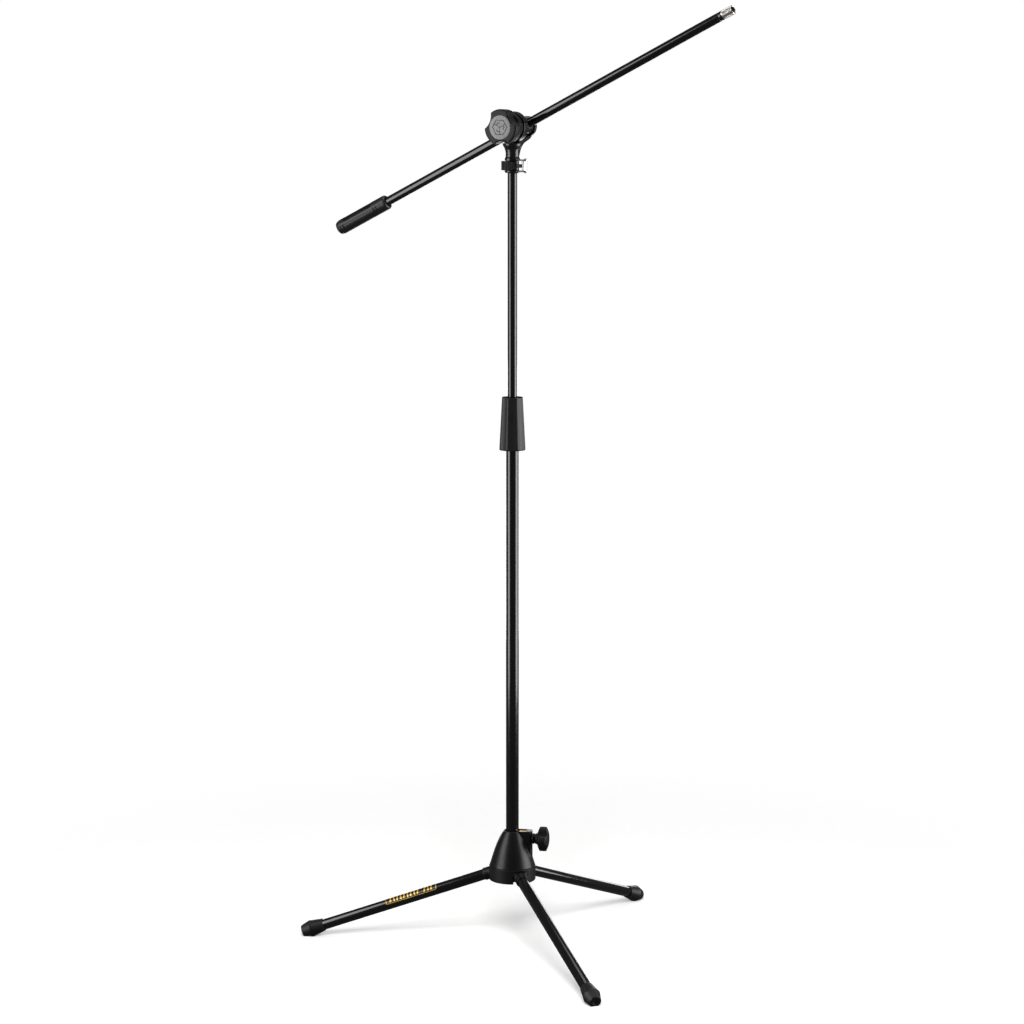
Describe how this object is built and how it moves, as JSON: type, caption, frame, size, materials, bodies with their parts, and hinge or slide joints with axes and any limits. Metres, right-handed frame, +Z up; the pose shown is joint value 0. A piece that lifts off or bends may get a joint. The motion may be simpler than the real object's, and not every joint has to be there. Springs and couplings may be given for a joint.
{
  "type": "boom microphone stand",
  "caption": "Floor stand on a folding tripod base, with a telescopic pole, a twist clutch and a tilting boom arm that ends in a threaded stud for a microphone holder.",
  "frame": {"origin": "the point on the floor under the axis of the pole", "axes": "+Z up along the pole, +X towards the clamp knob of the base, which is opposite the first leg; metres"},
  "size_m": [0.7538, 0.6542, 1.6079],
  "materials": {
    "gloss_black": "gloss",
    "satin_black": "satin",
    "knob_plastic": "matte",
    "grip_plastic": "matte",
    "nylon": "satin",
    "black_rubber": "matte",
    "brass": "satin",
    "nickel": "polished",
    "steel": "satin",
    "emblem": "satin",
    "foil": "gloss"
  },
  "bodies": {
    "base": {"base_housing": "satin_black", "base_skirt": "satin_black", "base_bush": "nylon", "base_screws": "steel", "leg_pins": "steel", "clamp_nut": "brass"},
    "leg_1": {"leg_1_knuckle": "satin_black", "leg_1_tube": "gloss_black", "leg_1_foot": "black_rubber", "leg_label": "foil"},
    "leg_2": {"leg_2_knuckle": "satin_black", "leg_2_tube": "gloss_black", "leg_2_foot": "black_rubber"},
    "leg_3": {"leg_3_knuckle": "satin_black", "leg_3_tube": "gloss_black", "leg_3_foot": "black_rubber"},
    "clamp_shoe": {"clamp_shoe": "brass"},
    "base_knob": {"base_knob": "knob_plastic", "clamp_screw": "steel"},
    "mast": {"lower_tube": "gloss_black", "lower_tube_plug": "nylon", "clutch_body": "satin_black", "clutch_collet": "nylon"},
    "clutch_grip": {"clutch_collar": "knob_plastic", "clutch_sleeve": "black_rubber"},
    "upper": {"upper_tube": "gloss_black", "upper_tube_guide": "nylon", "upper_tube_cap": "nylon"},
    "head": {"swivel_bush": "nylon", "swivel_collar": "satin_black", "latch_pin": "nickel", "head_yoke": "satin_black", "friction_disc": "nylon"},
    "latch": {"latch_link": "nickel", "latch_lever": "knob_plastic"},
    "tilt_knob": {"tilt_knob": "knob_plastic", "knob_emblem": "emblem", "knob_washer": "steel"},
    "boom_holder": {"boom_holder": "satin_black", "boom_liner": "nylon", "trunnion_screw": "steel"},
    "eye_bolt": {"eye_bolt": "steel"},
    "boom": {"boom_tube": "gloss_black", "boom_tip_fitting": "nickel", "boom_thread_stud": "nickel", "boom_counterweight": "steel", "boom_grip": "grip_plastic", "boom_grip_cap": "grip_plastic"}
  },
  "joints": [
    {"name": "leg_1_fold", "type": "hinge", "parent": "base", "child": "leg_1", "pos_m": [-0.027, 0, 0.13219], "axis": [0, -1, 0], "range_deg": [0, 70]},
    {"name": "leg_2_fold", "type": "hinge", "parent": "base", "child": "leg_2", "pos_m": [0.0135, -0.02338, 0.13219], "axis": [0.866, 0.5, 0], "range_deg": [0, 70]},
    {"name": "leg_3_fold", "type": "hinge", "parent": "base", "child": "leg_3", "pos_m": [0.0135, 0.02338, 0.13219], "axis": [-0.866, 0.5, 0], "range_deg": [0, 70]},
    {"name": "mast_slide", "type": "slide", "parent": "base", "child": "mast", "axis": [0, 0, 1], "range_m": [-0.3, 0]},
    {"name": "clamp_shoe_slide", "type": "slide", "parent": "base", "child": "clamp_shoe", "axis": [1, 0, 0], "range_m": [0, 0.0013]},
    {"name": "base_knob_turn", "type": "hinge", "parent": "clamp_shoe", "child": "base_knob", "pos_m": [0, 0, 0.191], "axis": [1, 0, 0], "range_deg": [0, 360]},
    {"name": "clutch_turn", "type": "hinge", "parent": "mast", "child": "clutch_grip", "pos_m": [0, 0, 0.912], "axis": [0, 0, 1], "range_deg": [0, 180]},
    {"name": "height_slide", "type": "slide", "parent": "mast", "child": "upper", "axis": [0, 0, 1], "range_m": [-0.36, 0.27]},
    {"name": "head_swivel", "type": "hinge", "parent": "upper", "child": "head", "pos_m": [0, 0, 1.346], "axis": [0, 0, 1], "continuous": true},
    {"name": "latch_swing", "type": "hinge", "parent": "head", "child": "latch", "pos_m": [0.0233, -0.00848, 1.346], "axis": [0, 0, 1], "range_deg": [0, 100]},
    {"name": "boom_tilt", "type": "hinge", "parent": "head", "child": "boom_holder", "pos_m": [0, 0, 1.41], "axis": [-0.342, -0.9397, 0], "range_deg": [-66, 23.5]},
    {"name": "tilt_knob_turn", "type": "hinge", "parent": "head", "child": "tilt_knob", "pos_m": [0, 0, 1.41], "axis": [-0.342, -0.9397, 0], "range_deg": [0, 270]},
    {"name": "eye_bolt_slide", "type": "slide", "parent": "boom_holder", "child": "eye_bolt", "axis": [0.342, 0.9397, 0], "range_m": [0, 0.0008]},
    {"name": "boom_slide", "type": "slide", "parent": "boom_holder", "child": "boom", "axis": [0.8424, -0.3066, 0.4431], "range_m": [-0.385, 0.262]}
  ],
  "couplings": [
    {"joint": "clamp_shoe_slide", "follows": "base_knob_turn", "m_per_rad": 0.00019894},
    {"joint": "eye_bolt_slide", "follows": "tilt_knob_turn", "m_per_rad": 0.00015915}
  ]
}
